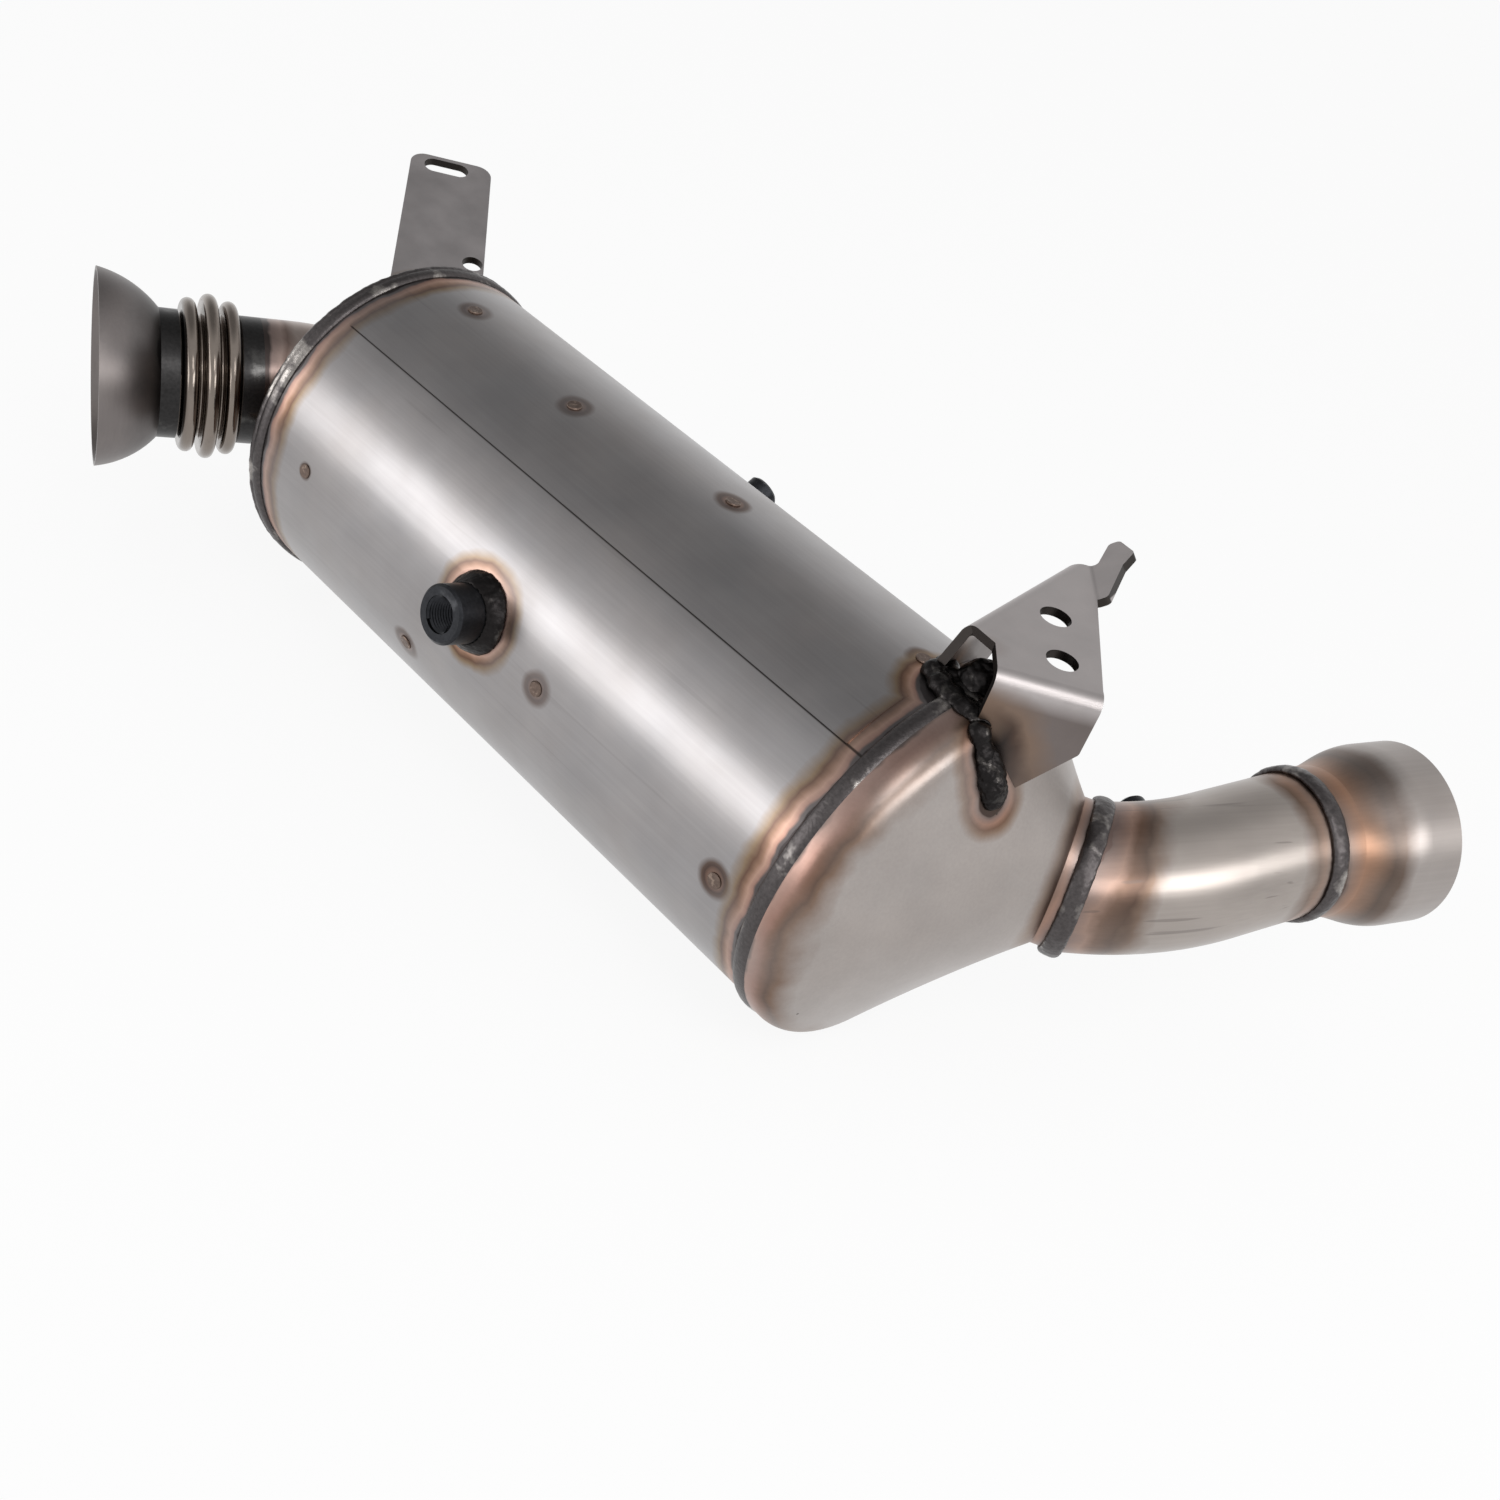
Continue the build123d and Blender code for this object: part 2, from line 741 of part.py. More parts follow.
def hang_leg():
    """Leg along the bolt side, whose point is welded to the cone."""
    outline = Polyline(
        (-bracket_leg_left, 0),
        (bracket_leg_right, 0),
        (bracket_leg_right, -hang_leg_right_depth),
        (-hang_leg_tip_x, -hang_leg_tip_depth),
        (-bracket_leg_left, -hang_leg_tip_depth),
        close=True,
    )
    face = Plane(origin=(0, -bracket_leg_edge, 0), x_dir=(1, 0, 0), z_dir=(0, -1, 0)) * make_face(outline)
    leg = extrude(face, -bracket_thickness)
    corners = leg.edges().filter_by(Axis.Y).group_by(Axis.Z)
    return fillet(corners[0].sort_by(Axis.X)[-1:] + corners[1], bracket_corner_r)


def side_leg():
    """Leg on the canister side, leaning outwards, whose foot is welded to the shell."""
    run_dir = Vector(side_run_x, side_run_y, 0).normalized()
    out = Vector(-run_dir.Y, run_dir.X, 0)
    lean = radians(side_leg_lean)
    normal = out * cos(lean) + Vector(0, 0, 1) * sin(lean)
    deep = bracket_top_z
    outline = Polyline(
        (0, 0),
        (side_run, 0),
        (side_run, -side_leg_lip),
        (side_leg_length, -side_leg_lip),
        (side_leg_length, -deep),
        (-side_leg_back, -deep),
        (-side_leg_back, -side_leg_back_drop),
        close=True,
    )
    plane = Plane(origin=(-bracket_point_x, -bracket_point_y, 0), x_dir=run_dir, z_dir=normal)
    if plane.y_dir.Z < 0:
        plane = Plane(origin=plane.origin, x_dir=run_dir * -1, z_dir=normal)
        outline = mirror(outline, Plane.YZ)
    return extrude(plane * make_face(outline), -bracket_thickness)


def tab():
    """Hooked tab, bent up from the plate's far edge, with the wedge under its crease."""
    rise = radians(tab_rise)
    out = Vector(cos(rise), 0, sin(rise))
    plane = Plane(origin=(tab_crease_x, bracket_far_y, 0), x_dir=out, z_dir=Vector(-sin(rise), 0, cos(rise)))
    width = bracket_far_y - tab_crease_near
    outline = FilletPolyline(
        (0, 0),
        (tab_land, 0),
        (tab_hook_out, tab_hook_back),
        (tab_tip_out, tab_hook_back),
        (tab_reach, 0),
        (tab_waist_out, -tab_waist_down),
        (tab_root_out, -width),
        (0, -width),
        radius=tab_corner_r,
    )
    face = make_face([outline, Line(outline @ 1, outline @ 0)])
    wedge = Polyline(
        (tab_crease_x, 0),
        (tab_crease_x, -bracket_thickness),
        (tab_crease_x + bracket_thickness * tan(rise / 2), -bracket_thickness),
        (tab_crease_x + bracket_thickness * sin(rise), -bracket_thickness * cos(rise)),
        close=True,
    )
    wedge_face = Plane(origin=(0, bracket_far_y, 0), x_dir=(1, 0, 0), z_dir=(0, -1, 0)) * make_face(wedge)
    return extrude(plane * face, -bracket_thickness) + extrude(wedge_face, width)


def bend(body, place, radius):
    """Rounds the edge whose middle lies nearest to a place."""
    edge = body.edges().sort_by(lambda one: (one.center() - place).length)[0]
    return fillet(edge, radius)


def folded_plate():
    """All flats of the bracket joined, with the bends between them rounded outside and inside."""
    t = bracket_thickness
    inner_r = bracket_bend_r - t
    plate = bracket_top() + hang_leg() + side_leg() + tab()
    side_mid = Vector(bracket_far_x - bracket_point_x, bracket_far_y - bracket_point_y, 0) / 2
    inward = Vector(side_run_y, -side_run_x, 0).normalized()
    plate = bend(plate, side_mid, bracket_bend_r)
    plate = bend(plate, side_mid + inward * t - Vector(0, 0, t), inner_r)
    leg_mid = (bracket_leg_right - bracket_leg_left) / 2
    plate = bend(plate, Vector(leg_mid, -bracket_leg_edge, 0), bracket_bend_r)
    plate = bend(plate, Vector(leg_mid, t - bracket_leg_edge, -t), inner_r)
    tab_mid = (bracket_far_y + tab_crease_near) / 2
    plate = bend(plate, Vector(tab_crease_x, tab_mid, 0), tab_bend_r)
    return bend(plate, Vector(tab_crease_x, tab_mid, -t), tab_bend_r + t)


def rear_bracket():
    body = bracket_plane * folded_plate()
    body -= rod(0, shell_length, shell_r + fit_gap)
    body -= cone_body(-fit_gap)
    return body.solids().sort_by(SortBy.VOLUME)[-1]


def heaped_weld(path, radius):
    """Overlapping drops of weld along a path, alternately larger and smaller."""
    steps = round(path.length / weld_drop_step)
    heap = Pos(path @ 0) * Sphere(radius)
    for index in range(1, steps + 1):
        heap += Pos(path @ (index / steps)) * Sphere(radius - index % 2 * weld_drop_change)
    return heap


def bracket_upper_weld(bracket, lower_weld):
    """Weld over the end of the shell, from the side leg's foot to the hanging leg."""
    rows = []
    for clock in (upper_weld_clock, upper_weld_clock - upper_weld_row):
        start = Vector(shell_length - upper_weld_before, 0, 0) + radial(clock) * shell_r
        middle = Vector(skirt_start_x, 0, 0) + radial(clock + upper_weld_sag) * shell_r
        end = Vector(shell_length + upper_weld_after, 0, 0) + radial(clock + upper_weld_sag) * shell_r
        rows.append(heaped_weld(ThreePointArc(start, middle, end), upper_weld_r))
    bead = Pos(skirt_start_x, 0, 0) * bead_ring(shell_r, skirt_bead_r, skirt_bead_height)
    heap = rows[0] + rows[1] - rod(0, shell_length, shell_r) - cone_body(0) - bead - bracket - lower_weld
    return heap.solids().sort_by(SortBy.VOLUME)[-1]


def bracket_lower_weld(bracket):
    """Weld down the cone on the outer side of the hanging leg's foot."""
    top_x = lower_weld_lap - bracket_leg_left
    top = Vector(top_x, -bracket_leg_edge - lower_weld_lap, -lower_weld_top_depth)
    end_x = -hang_leg_tip_x - lower_weld_back
    end = Vector(end_x, -bracket_leg_edge - lower_weld_out, lower_weld_lap - hang_leg_tip_depth)
    path = Line(bracket_plane.from_local_coords(top), bracket_plane.from_local_coords(end))
    heap = heaped_weld(path, lower_weld_r) - cone_body(0) - bracket
    return heap.solids().sort_by(SortBy.VOLUME)[-1]


def build_nodes():
    bracket = rear_bracket()
    lower_weld = bracket_lower_weld(bracket)
    nodes = {
        "inlet_flare": inlet_flare(),
        "front_collar": collar(cup_depth, front_collar_length),
        "flex_bellows": flex_bellows(),
        "bellows_liner": bellows_liner(),
        "rear_collar": collar(rear_collar_start, rear_collar_length),
        "inlet_elbow": inlet_elbow(),
        "elbow_weld": elbow_weld(),
        "inlet_end_cap": inlet_end_cap(),
        "inlet_end_weld": inlet_end_weld(),
        "canister_shell": canister_shell(),
        "plug_welds": plug_welds(),
        "catalyst_monolith": monolith(plug_rows[0], plug_rows[1]),
        "catalyst_mat": mat(plug_rows[0], plug_rows[1]),
        "filter_monolith": monolith(plug_rows[2], plug_rows[3]),
        "filter_mat": mat(plug_rows[2], plug_rows[3]),
        "outlet_end_weld": outlet_end_weld(),
        "outlet_cone": outlet_cone(),
        "neck_weld": neck_weld(),
        "outlet_pipe": outlet_pipe(),
        "flare_weld": flare_weld(),
        "outlet_flare": outlet_flare(),
        "front_sensor_boss": front_sensor_boss(),
        "front_boss_weld": front_boss_weld(),
        "rear_sensor_boss": small_boss(boss_axis(rear_boss_x, rear_boss_clock), rod(0, shell_length, shell_r)),
        "rear_boss_weld": small_boss_weld(boss_axis(rear_boss_x, rear_boss_clock), rod(0, shell_length, shell_r)),
        "pipe_boss": small_boss(pipe_boss_axis(), outlet_body(outlet_r)),
        "pipe_boss_weld": small_boss_weld(pipe_boss_axis(), outlet_body(outlet_r)),
        "inlet_strap": inlet_strap(),
        "strap_weld": strap_weld(),
        "rear_bracket": bracket,
        "bracket_upper_weld": bracket_upper_weld(bracket, lower_weld),
        "bracket_lower_weld": lower_weld,
    }
    for index, row_x in enumerate(plug_rows):
        lip_side = 1 if index % 2 == 0 else -1
        nodes[f"retaining_ring_{index + 1}"] = retaining_ring(row_x, lip_side)
    return nodes


to_origin = Pos(-inlet_rim.X, -inlet_rim.Y, -inlet_rim.Z)
for name, shape in build_nodes().items():
    export_step(to_origin * shape, f"parts/{name}.step")
print("inlet rim in canister coordinates", inlet_rim)
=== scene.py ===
import json
from math import cos, pi, radians, sin

import bmesh
import bpy
from mathutils import Matrix, Vector


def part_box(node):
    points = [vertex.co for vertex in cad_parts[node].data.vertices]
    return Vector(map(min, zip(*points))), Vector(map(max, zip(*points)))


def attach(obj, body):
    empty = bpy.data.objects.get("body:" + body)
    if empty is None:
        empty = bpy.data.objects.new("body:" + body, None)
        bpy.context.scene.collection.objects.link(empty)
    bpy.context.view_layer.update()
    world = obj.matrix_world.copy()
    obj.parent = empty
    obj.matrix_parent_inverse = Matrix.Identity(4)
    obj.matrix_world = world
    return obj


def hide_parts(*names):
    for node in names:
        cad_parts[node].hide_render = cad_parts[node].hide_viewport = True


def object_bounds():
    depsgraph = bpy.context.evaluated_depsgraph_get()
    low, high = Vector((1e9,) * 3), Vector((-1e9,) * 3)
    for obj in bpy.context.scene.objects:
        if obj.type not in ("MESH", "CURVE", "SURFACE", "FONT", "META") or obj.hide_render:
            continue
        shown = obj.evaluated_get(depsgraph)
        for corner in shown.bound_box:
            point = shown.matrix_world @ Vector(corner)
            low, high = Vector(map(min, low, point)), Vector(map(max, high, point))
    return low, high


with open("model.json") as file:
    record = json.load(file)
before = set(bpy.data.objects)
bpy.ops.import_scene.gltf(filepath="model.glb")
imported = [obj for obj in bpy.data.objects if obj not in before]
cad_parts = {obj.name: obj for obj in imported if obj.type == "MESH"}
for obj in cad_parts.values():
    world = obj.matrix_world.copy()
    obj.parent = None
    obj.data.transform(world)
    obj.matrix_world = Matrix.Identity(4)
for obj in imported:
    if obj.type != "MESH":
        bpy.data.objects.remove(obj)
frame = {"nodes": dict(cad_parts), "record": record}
cad_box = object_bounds()


# Canister shell
# Stainless sheet, rolled to a tube 170 mm across and closed by a lap seam along its whole length.
# It is satin from the rolling mill, with tan, copper, brown and straw heat tint round its welds.
MM = 0.001
shell_low, shell_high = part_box("canister_shell")
axis_y = (shell_low[1] + shell_high[1]) / 2
axis_z = (shell_low[2] + shell_high[2]) / 2
shell_radius = (shell_high[1] - shell_low[1]) / 2
long_way = Vector((1, 0, 0))

# Places on the shell: mm from its inlet end, and clock angles in degrees from +Y towards +Z.
# The seam's dark line has half widths in mm, at its core and where it ends.
SEAM_CLOCK = 125.3
SEAM_START = 12
SEAM_CORE = 0.3
SEAM_EDGE = 0.8
PLUG_ROWS = (38.6, 124, 211.3, 327.4)
PLUG_CLOCKS = ((90.2, 170.7), (96.5, 197.8), (85.0, 171.4), (87.7, 177.7))
FAINT_PLUG = (38.6, 170.7)

# How much of the shell each weld hides, in mm from its middle, and how tight its tint lies round it
RING_WELDS = (("inlet_end_weld", 6), ("outlet_end_weld", 3))
ROUND_WELDS = (("front_boss_weld", 16, 1.25), ("rear_boss_weld", 11, 1.5),
               ("bracket_upper_weld", 16.5, 1))

# Oxide colours of the sheet by distance from a weld, in mm. They fade out between the last two.
RIM_TINTS = ((0, "#3C3838"), (1.5, "#4A4240"), (2.6, "#9A7668"), (4.5, "#AF8C7A"),
             (6.5, "#8A6A56"), (8.5, "#64493A"), (10.5, "#84705A"), (15, None))
PLUG_TINTS = ((0, "#5E4C44"), (2.6, "#7C6458"), (4, "#70594E"), (5.5, "#4E3E38"),
              (6.8, "#5C4C44"), (9.5, None))


def linear(hex_color):
    """An sRGB hex colour as linear red, green, blue and alpha."""
    parts = [int(hex_color[i:i + 2], 16) / 255 for i in (1, 3, 5)]
    return [c / 12.92 if c <= 0.04045 else ((c + 0.055) / 1.055) ** 2.4 for c in parts] + [1]


def fill(tree, node, sockets):
    """Fills a node's sockets, each with a value, a hex colour or another node's output.

    Sockets go by name, or by number where names repeat. A Map Range takes its value, the two ends
    of the range that it comes from and the two that it goes to as 0 to 4. A colour Mix takes its
    share as 0, the colour below as 6 and the one above as 7.
    """
    for name, value in sockets.items():
        if isinstance(value, bpy.types.NodeSocket):
            tree.links.new(value, node.inputs[name])
        else:
            node.inputs[name].default_value = linear(value) if isinstance(value, str) else value


def add(tree, kind, sockets=None, **settings):
    """Adds a node with its settings and fills its sockets."""
    node = tree.nodes.new(kind)
    for name, value in settings.items():
        setattr(node, name, value)
    fill(tree, node, sockets or {})
    return node


def new_material(name):
    """An empty material with its shader and the place on the object, in metres."""
    material = bpy.data.materials.new(name)
    material.use_nodes = True
    tree = material.node_tree
    tree.nodes.clear()
    shader = add(tree, "ShaderNodeBsdfPrincipled")
    add(tree, "ShaderNodeOutputMaterial", {"Surface": shader.outputs[0]})
    place = add(tree, "ShaderNodeTexCoord").outputs["Object"]
    return material, tree, shader, place


def on_shell(x, clock):
    """A point on the shell's outside, x mm from its inlet end, at a clock angle."""
    angle = radians(clock)
    return Vector((shell_low[0] + x * MM, axis_y + shell_radius * cos(angle),
                   axis_z + shell_radius * sin(angle)))


def centre(node):
    """The middle of a CAD node's box."""
    low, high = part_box(node)
    return (Vector(low) + Vector(high)) / 2


def gap_to_point(tree, place, point, reach=0, tight=1):
    """Distance on from a round weld of radius reach mm. Over 1, tight makes its tint narrower."""
    away = add(tree, "ShaderNodeVectorMath", {0: place, 1: point}, operation="DISTANCE")
    return add(tree, "ShaderNodeMath",
               {0: away.outputs["Value"], 1: tight, 2: -reach * MM * tight},
               operation="MULTIPLY_ADD").outputs[0]


def gap_to_plane(tree, place, point, facing, reach=0, tight=1):
    """Distance on from a weld that runs all round in a plane and reaches reach mm to each side."""
    facing = Vector(facing).normalized()
    along = add(tree, "ShaderNodeVectorMath", {0: place, 1: facing * tight},
                operation="DOT_PRODUCT")
    offset = -facing.dot(Vector(point)) * tight
    shifted = add(tree, "ShaderNodeMath", {0: along.outputs["Value"], 1: offset}, operation="ADD")
    size = add(tree, "ShaderNodeMath", {0: shifted.outputs[0]}, operation="ABSOLUTE")
    return add(tree, "ShaderNodeMath", {0: size.outputs[0], 1: reach * MM * tight},
               operation="SUBTRACT").outputs[0]


def gap_to_line(tree, place, y, z):
    """Distance from a line that runs along the canister, through y and z."""
    across = add(tree, "ShaderNodeVectorMath", {0: place, 1: (0, 1, 1)}, operation="MULTIPLY")
    return add(tree, "ShaderNodeVectorMath", {0: across.outputs[0], 1: (0, y, z)},
               operation="DISTANCE").outputs["Value"]


def chosen(tree, values, operation):
    """The smallest of several values with MINIMUM, or the largest with MAXIMUM."""
    result = values[0]
    for value in values[1:]:
        result = add(tree, "ShaderNodeMath", {0: result, 1: value},
                     operation=operation).outputs[0]
    return result


def clouds(place, size, detail=3):
    """What a noise node's sockets take for clouds of about size mm."""
    return {"Vector": place, "Scale": 1 / (size * MM), "Detail": detail, "Roughness": 0.55}


def uneven(tree, place, size, low, high, detail=3, edges=(0.3, 0.7)):
    """A level that wanders from low to high in patches of about size mm."""
    noise = add(tree, "ShaderNodeTexNoise", clouds(place, size, detail))
    return add(tree, "ShaderNodeMapRange",
               {0: noise.outputs[0], 1: edges[0], 2: edges[1], 3: low, 4: high}).outputs[0]


def mottled(tree, place, shade, size, dark, light, detail=3):
    """Darkens and lightens a shade in patches of about size mm."""
    level = uneven(tree, place, size, dark, light, detail)
    return add(tree, "ShaderNodeMix", {0: 1, 6: shade, 7: level}, data_type="RGBA",
               blend_type="MULTIPLY").outputs[2]


def relief(tree, place, size, detail, strength, depth):
    """Fine unevenness for a shader's normal, with bumps about size mm wide and depth mm high."""
    height = add(tree, "ShaderNodeTexNoise", clouds(place, size, detail))
    return add(tree, "ShaderNodeBump", {"Height": height.outputs[0], "Strength": strength,
                                        "Distance": depth * MM}).outputs[0]


# How a torch leaves its tint, in mm: the waves of its edge, the size of its strong and weak
# places, and how near the weld it is strong everywhere
EDGE_WAVES = 26
STRENGTH_CLOUDS = 50
ALWAYS_STRONG = 2.5


def tinted(tree, place, shade, gaps, tints=RIM_TINTS, swing=2):
    """Lays the oxide colours of the nearest weld over a shade. Their edge swings by swing mm."""
    wander = uneven(tree, place, EDGE_WAVES, -swing * MM, swing * MM)
    gap = add(tree, "ShaderNodeMath", {0: chosen(tree, gaps, "MINIMUM"), 1: wander},
              operation="ADD").outputs[0]
    reach, fade = tints[-1][0], tints[-2][0]
    run = add(tree, "ShaderNodeMapRange", {0: gap, 2: reach * MM}).outputs[0]
    ramp = add(tree, "ShaderNodeValToRGB", {0: run})
    stops = ramp.color_ramp.elements
    while len(stops) < len(tints) - 1:
        stops.new(0.5)
    for stop, (distance, tint) in zip(stops, tints[:-1]):
        stop.position = distance / reach
        stop.color = linear(tint)
    strength = uneven(tree, place, STRENGTH_CLOUDS, 0.6, 1, 1, (0.35, 0.65))
    faded = add(tree, "ShaderNodeMapRange", {0: gap, 1: fade * MM, 2: reach * MM, 3: 1, 4: 0})
    share = add(tree, "ShaderNodeMath", {0: strength, 1: faded.outputs[0]}, operation="MULTIPLY")
    close = add(tree, "ShaderNodeMapRange", {0: gap, 2: ALWAYS_STRONG * MM, 3: 1, 4: 0})
    share = add(tree, "ShaderNodeMath", {0: share.outputs[0], 1: close.outputs[0]},
                operation="MAXIMUM")
    return add(tree, "ShaderNodeMix", {0: share.outputs[0], 6: shade, 7: ramp.outputs[0]},
               data_type="RGBA").outputs[2]


# The mill's grain lines are far finer than the render shows, so they are drawn coarser, and each
# is forty times as long as it is wide. Pitches and clouds are in mm.
GRAIN_PITCH = 1.4
SCRATCH_PITCH = 3.5
GRAIN_STRETCH = 40
WARM_CLOUDS = 45
DARK_CLOUDS = 30


def satin_steel(name, color, roughness, grain, lay_tints, scratched=0.1):
    """Satin stainless steel with heat tint, and grain lines and scratches along its grain."""
    material, tree, shader, place = new_material(name)
    turn = Vector(grain).to_track_quat("X", "Z").to_euler()
    drawn = add(tree, "ShaderNodeMapping",
                {"Vector": place, "Rotation": turn, "Scale": (GRAIN_STRETCH, 1, 1)},
                vector_type="TEXTURE").outputs[0]
    warmer = [0.6 * own + 0.4 * warm for own, warm in zip(linear(color), linear("#A0948C"))]
    cloud = add(tree, "ShaderNodeTexNoise", clouds(place, WARM_CLOUDS))
    shade = add(tree, "ShaderNodeMix", {0: cloud.outputs[0], 6: color, 7: warmer},
                data_type="RGBA").outputs[2]
    shade = lay_tints(tree, place, shade)
    scratches = uneven(tree, drawn, SCRATCH_PITCH, 0, scratched, 1, (0.71, 0.74))
    shade = add(tree, "ShaderNodeMix", {0: scratches, 6: shade, 7: "#5E5856"},
                data_type="RGBA").outputs[2]
    shade = mottled(tree, drawn, shade, GRAIN_PITCH, 0.965, 1.03)
    fill(tree, shader, {
        "Base Color": mottled(tree, place, shade, DARK_CLOUDS, 0.94, 1.05, 2),
        "Roughness": uneven(tree, place, WARM_CLOUDS, roughness - 0.03, roughness + 0.04),
        "Normal": relief(tree, drawn, GRAIN_PITCH, 3, 0.05, 0.1),
        "Metallic": 1})
    return material


def paint(node, material):
    """Puts a material on all slots of a CAD node."""
    for slot in frame["nodes"][node].material_slots:
        slot.material = material


def shell_tints(tree, place, shade):
    """Tint of the spot welds, of the beads and bosses, and the dark open edge of the lap seam."""
    plugs = [gap_to_point(tree, place, on_shell(row, clock + turn),
                          tight=2 if (row, clock) == FAINT_PLUG else 1)
             for row, clocks in zip(PLUG_ROWS, PLUG_CLOCKS) for clock in clocks
             for turn in (0, 180)]
    shade = tinted(tree, place, shade, plugs, PLUG_TINTS, 0.8)
    shade = tinted(tree, place, shade, [
        gap_to_plane(tree, place, centre(weld), long_way, reach) for weld, reach in RING_WELDS] + [
        gap_to_point(tree, place, centre(weld), reach, tight)
        for weld, reach, tight in ROUND_WELDS])
    edge = on_shell(SEAM_START, SEAM_CLOCK)
    away = gap_to_line(tree, place, edge.y, edge.z)
    line = add(tree, "ShaderNodeMapRange",
               {0: away, 1: SEAM_CORE * MM, 2: SEAM_EDGE * MM, 3: 0.85, 4: 0})
    along = add(tree, "ShaderNodeSeparateXYZ", {0: place}).outputs["X"]
    begun = add(tree, "ShaderNodeMapRange", {0: along, 1: edge.x - MM, 2: edge.x + MM})
    open_edge = add(tree, "ShaderNodeMath", {0: line.outputs[0], 1: begun.outputs[0]},
                    operation="MULTIPLY").outputs[0]
    return add(tree, "ShaderNodeMix", {0: open_edge, 6: shade, 7: "#2E2A28"},
               data_type="RGBA").outputs[2]


# Cold-rolled sheet: grey, with a soft sheen and fine lines along the canister
paint("canister_shell", satin_steel("satin_shell_steel", "#989799", 0.32, long_way, shell_tints))


# Outlet cone
# Deep drawn from the same sheet: a short skirt over the shell, a rounded shoulder and a slanted
# face. It is welded to the shell all round, and the pipe and a bracket are welded to it in turn.
def leaning(tilt, clock):
    """The way that leans tilt degrees off the canister's axis, towards a clock angle."""
    tilt, clock = radians(tilt), radians(clock)
    return Vector((cos(tilt), sin(tilt) * cos(clock), sin(tilt) * sin(clock)))


NECK_TILT = 27
NECK_CLOCK = 8.7
neck_axis = leaning(NECK_TILT, NECK_CLOCK)

# The weld at the foot of the bracket's hanging leg runs down the cone, square to the leg's length
FOOT_WELD_RUN = Vector((14.5, 3.5, -23.5)) * MM
ALONG_LEG = Vector((0.7501, 0.6613, 0))

# The skirt and the shoulder cooled slowly, so their tint is wide. The smaller welds' is narrow.
SKIRT_TINTS = ((0, "#454040"), (1.5, "#5E4F49"), (3, "#A58478"), (7, "#957062"),
               (10, "#785644"), (13, "#5A4234"), (15, "#745A48"), (21, None))
FACE_TINTS = ((0, "#4A3F3A"), (1.5, "#80665C"), (3.5, "#94705E"), (6, "#6E5140"),
              (8, "#846E5E"), (12, None))

# Cells of 14 mm, of which a tenth have a pit of about 1 mm
PIT_CELLS = 70
PIT_CORE = 0.03
PIT_EDGE = 0.05
PITTED_FROM = 0.9


def foot_weld_gaps(tree, place, shares, shift, reach):
    """Distances from points along the foot weld, shifted by some mm along the leg."""
    middle = centre("bracket_lower_weld") + ALONG_LEG * shift * MM
    return [gap_to_point(tree, place, middle + FOOT_WELD_RUN * share, reach) for share in shares]


def cone_tints(tree, place, shade):
    """Tint of the big bead, of the neck's bead and of the foot weld, and a few dark pits."""
    skirt_gap = gap_to_plane(tree, place, centre("outlet_end_weld"), long_way, 2.5)
    shade = tinted(tree, place, shade, [skirt_gap], SKIRT_TINTS)
    neck_gap = gap_to_plane(tree, place, centre("neck_weld"), neck_axis, 3, 0.9)
    foot_gaps = foot_weld_gaps(tree, place, (-0.2, 0.15, 0.5), 1.5, 6.5)
    shade = tinted(tree, place, shade, [neck_gap] + foot_gaps, FACE_TINTS, 1.2)
    cells = add(tree, "ShaderNodeTexVoronoi", {"Vector": place, "Scale": PIT_CELLS})
    near = add(tree, "ShaderNodeMapRange",
               {0: cells.outputs["Distance"], 1: PIT_CORE, 2: PIT_EDGE, 3: 1, 4: 0})
    picked = add(tree, "ShaderNodeSeparateColor", {0: cells.outputs["Color"]})
    few = add(tree, "ShaderNodeMapRange",
              {0: picked.outputs[0], 1: PITTED_FROM, 2: PITTED_FROM + 0.02})
    pits = add(tree, "ShaderNodeMath", {0: near.outputs[0], 1: few.outputs[0]},
               operation="MULTIPLY").outputs[0]
    return add(tree, "ShaderNodeMix", {0: pits, 6: shade, 7: "#4A423E"},
               data_type="RGBA").outputs[2]


# Drawn sheet: paler and a little duller than the shell, and without scratches
paint("outlet_cone", satin_steel("drawn_cone_steel", "#A8A29F", 0.34, (0.7, -0.3, 0.6),
                                 cone_tints, scratched=0))


# Outlet pipe and joint flare
# The pipe is mandrel-bent stainless tube, nested in the cone's neck and welded there. The flare is
# swaged from the same tube and welded to the pipe's end. Handling has left scratches on the pipe.
FLARE_TILT = 66
FLARE_CLOCK = 4.6
flare_axis = leaning(FLARE_TILT, FLARE_CLOCK)
PIPE_TINTS = ((0, "#7E6C66"), (2, "#88736B"), (7, "#9A7E70"), (12, "#705749"),
              (18, "#564237"), (22, "#735E50"), (31, None))
PIPE_END_TINTS = ((0, "#62544E"), (2, "#8E786C"), (6, "#8A6C5A"), (10, "#6A5242"), (18, None))
FLARE_TINTS = ((0, "#5A4C46"), (2.5, "#84695A"), (9, "#9A7258"), (16, "#7E604C"),
               (23, "#524238"), (28, "#625248"), (34, None))


def pipe_tints(tree, place, shade):
    """Tint of the neck's bead, then of the flare's bead and of the small boss."""
    neck_gap = gap_to_plane(tree, place, centre("neck_weld"), neck_axis, 3)
    shade = tinted(tree, place, shade, [neck_gap], PIPE_TINTS, 4)
    end_gaps = [gap_to_plane(tree, place, centre("flare_weld"), flare_axis, 3),
                gap_to_point(tree, place, centre("pipe_boss_weld"), 9, 1.5)]
    return tinted(tree, place, shade, end_gaps, PIPE_END_TINTS, 3)


def flare_tints(tree, place, shade):
    """Tint of the flare's bead, wide and strong."""
    return tinted(tree, place, shade,
                  [gap_to_plane(tree, place, centre("flare_weld"), flare_axis, 3)], FLARE_TINTS)


